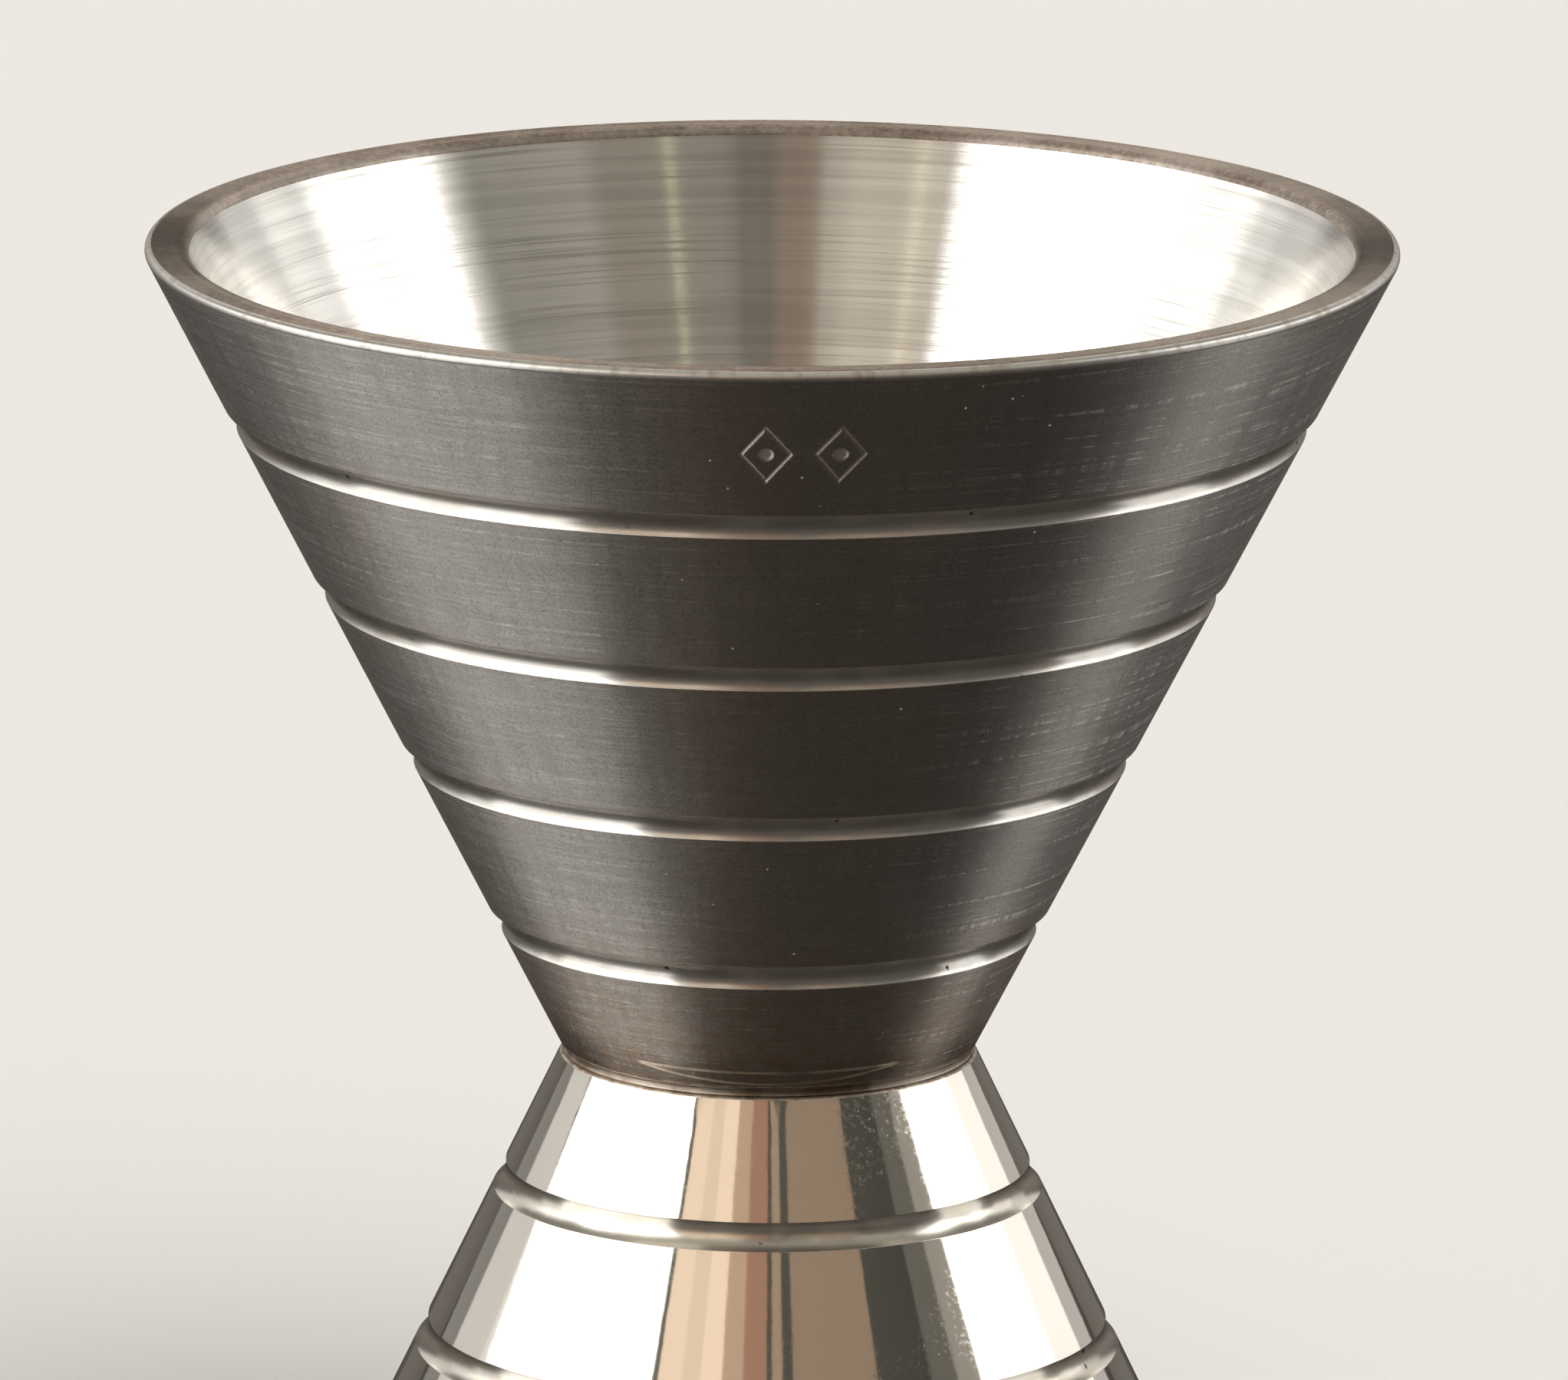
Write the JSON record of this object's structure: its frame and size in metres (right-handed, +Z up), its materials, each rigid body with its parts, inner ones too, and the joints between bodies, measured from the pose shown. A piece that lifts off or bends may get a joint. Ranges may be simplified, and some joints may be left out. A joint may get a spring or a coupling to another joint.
{
  "type": "bar jigger",
  "caption": "Double-ended bar measure: a large and a small conical metal cup joined base to base at a narrow waist, with round-bottomed rings cut round the outside.",
  "frame": {"origin": "centre of the small cup's rim plane, on the surface that the jigger stands on", "axes": "+Z up the common axis of both cups, out of the large cup's mouth; X and Y are free, since the body is round"},
  "size_m": [0.067, 0.067, 0.0769],
  "materials": {
    "satin_plate": "silver plate, satin turned outside with fine rings round the axis, lightly tarnished; coarser turning marks inside; grooves left bright",
    "polished_plate": "silver plate, mirror polished, warm tone with faint clouded tarnish and hairline scratches",
    "stud_brass": "bare machined brass, hidden inside the waist",
    "silver_solder": "dull silver solder with brown tarnish"
  },
  "bodies": {
    "root": {"large_cup": "satin_plate", "small_cup": "polished_plate", "joining_stud": "stud_brass", "solder_ring": "silver_solder"}
  },
  "joints": []
}
